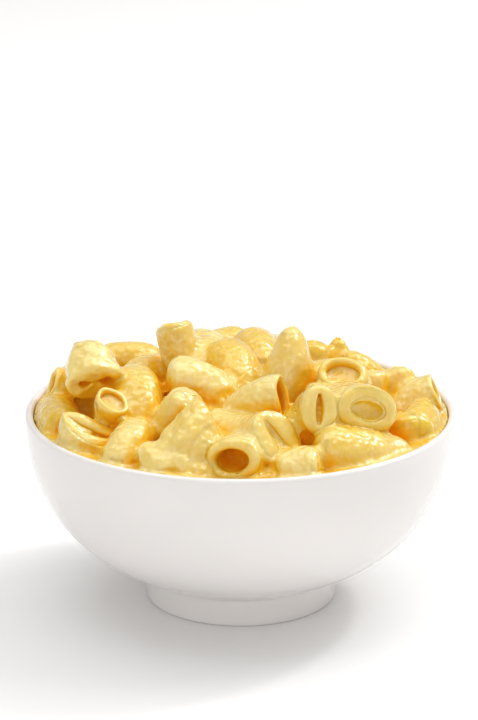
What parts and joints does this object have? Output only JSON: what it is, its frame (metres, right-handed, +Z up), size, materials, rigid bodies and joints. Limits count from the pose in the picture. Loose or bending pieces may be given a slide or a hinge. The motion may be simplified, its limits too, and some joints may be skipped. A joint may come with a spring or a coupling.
{
  "type": "bowl of macaroni cheese",
  "caption": "Round footed bowl heaped above its rim with elbow macaroni in cheese sauce.",
  "frame": {"origin": "centre of the underside of the bowl's foot", "axes": "+Z up along the bowl's axis, +X to the right and -Y towards the side that is seen first"},
  "size_m": [0.114, 0.114, 0.0744],
  "materials": {
    "porcelain": "glossy white glaze",
    "cheese_pasta": "moist, coated in cheese sauce"
  },
  "bodies": {
    "root": {"bowl": "porcelain", "macaroni": "cheese_pasta"}
  },
  "joints": []
}
